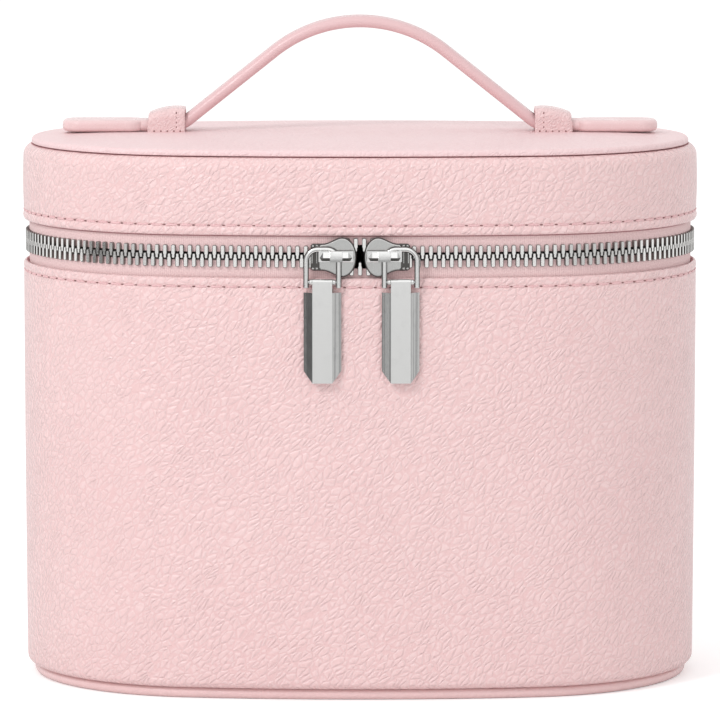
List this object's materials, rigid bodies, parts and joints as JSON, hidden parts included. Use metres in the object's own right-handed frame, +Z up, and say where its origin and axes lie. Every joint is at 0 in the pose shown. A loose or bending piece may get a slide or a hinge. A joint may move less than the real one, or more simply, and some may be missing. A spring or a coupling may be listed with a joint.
{
  "type": "vanity case",
  "caption": "Oval hard-sided vanity case in padded leather, with a zipped lid hinged at the back, hanging zip pulls and a strap handle on top.",
  "frame": {"origin": "middle of the footprint, on the plane that the base rests on", "axes": "+X across the width to the right as seen from the front, +Y from the front to the hinge at the back, +Z up"},
  "size_m": [0.21, 0.1311, 0.2058],
  "materials": {
    "leather_grained": "pale pink coated leather with a pebbled grain, satin",
    "leather_smooth": "pale pink coated leather, smooth and slightly glossy",
    "zip_tape": "pink woven tape",
    "metal": "light grey plated metal, brushed",
    "lining": "pale woven lining, matte",
    "padding": "thin soft foam sheet, matte",
    "board": "pressed fibre board, unfinished",
    "strap_core": "flexible strap filler, matte"
  },
  "bodies": {
    "case": {"base_panel": "leather_smooth", "base_board": "board", "body_skin": "leather_grained", "body_padding": "padding", "body_board": "board", "body_lining": "lining", "floor_board": "board", "floor_lining": "lining", "lower_tape": "zip_tape", "lower_teeth_front": "metal", "lower_teeth_left": "metal", "lower_teeth_right": "metal", "lower_stop_left": "metal", "lower_stop_right": "metal", "hinge_panel": "leather_grained", "hinge_lining": "lining"},
    "lid": {"lid_skin": "leather_grained", "lid_padding": "padding", "lid_board": "board", "lid_lining": "lining", "ceiling_board": "board", "ceiling_lining": "lining", "top_panel": "leather_smooth", "top_foam": "padding", "top_board": "board", "upper_tape": "zip_tape", "upper_teeth_front": "metal", "upper_teeth_left": "metal", "upper_teeth_right": "metal", "upper_stop_left": "metal", "upper_stop_right": "metal", "keeper_left": "leather_grained", "keeper_right": "leather_grained", "handle_cover": "leather_smooth", "handle_core": "strap_core"},
    "slider_left": {"slider_left": "metal", "bridge_left": "metal"},
    "link_left": {"link_left": "metal", "pull_pin_left": "metal"},
    "pull_left": {"pull_left": "metal"},
    "handle_left": {"handle_pad_left": "leather_smooth"},
    "slider_right": {"slider_right": "metal", "bridge_right": "metal"},
    "link_right": {"link_right": "metal", "pull_pin_right": "metal"},
    "pull_right": {"pull_right": "metal"},
    "handle_right": {"handle_pad_right": "leather_smooth"}
  },
  "joints": [
    {"name": "lid_hinge", "type": "hinge", "parent": "case", "child": "lid", "pos_m": [0, 0.0624, 0.13625], "axis": [-1, 0, 0], "range_deg": [0, 105], "deforming": ["hinge_panel", "hinge_lining"]},
    {"name": "slider_left_travel", "type": "hinge", "parent": "case", "child": "slider_left", "pos_m": [0, 0.294, 0.13625], "axis": [0, 0, -1], "range_deg": [0, 6], "deforming": ["upper_teeth_front"]},
    {"name": "link_left_swing", "type": "hinge", "parent": "slider_left", "child": "link_left", "pos_m": [-0.01188, -0.06442, 0.1367], "axis": [0.0234, 0.9997, 0], "range_deg": [-8, 90]},
    {"name": "pull_left_swing", "type": "hinge", "parent": "link_left", "child": "pull_left", "pos_m": [-0.01188, -0.06442, 0.12917], "axis": [-0.9997, 0.0234, 0], "range_deg": [0, 100]},
    {"name": "slider_right_travel", "type": "hinge", "parent": "case", "child": "slider_right", "pos_m": [0, 0.294, 0.13625], "axis": [0, 0, 1], "range_deg": [0, 6], "deforming": ["lower_teeth_front"]},
    {"name": "link_right_swing", "type": "hinge", "parent": "slider_right", "child": "link_right", "pos_m": [0.01188, -0.06442, 0.1367], "axis": [0.0234, -0.9997, 0], "range_deg": [-8, 90]},
    {"name": "pull_right_swing", "type": "hinge", "parent": "link_right", "child": "pull_right", "pos_m": [0.01188, -0.06442, 0.12917], "axis": [-0.9997, -0.0234, 0], "range_deg": [0, 100]},
    {"name": "handle_left_slide", "type": "slide", "parent": "lid", "child": "handle_left", "axis": [-1, 0, 0], "range_m": [0, 0.0065], "deforming": ["handle_cover"]},
    {"name": "handle_right_slide", "type": "slide", "parent": "lid", "child": "handle_right", "axis": [1, 0, 0], "range_m": [0, 0.0065]}
  ],
  "couplings": [
    {"joint": "handle_right_slide", "follows": "handle_left_slide", "ratio": 1}
  ]
}
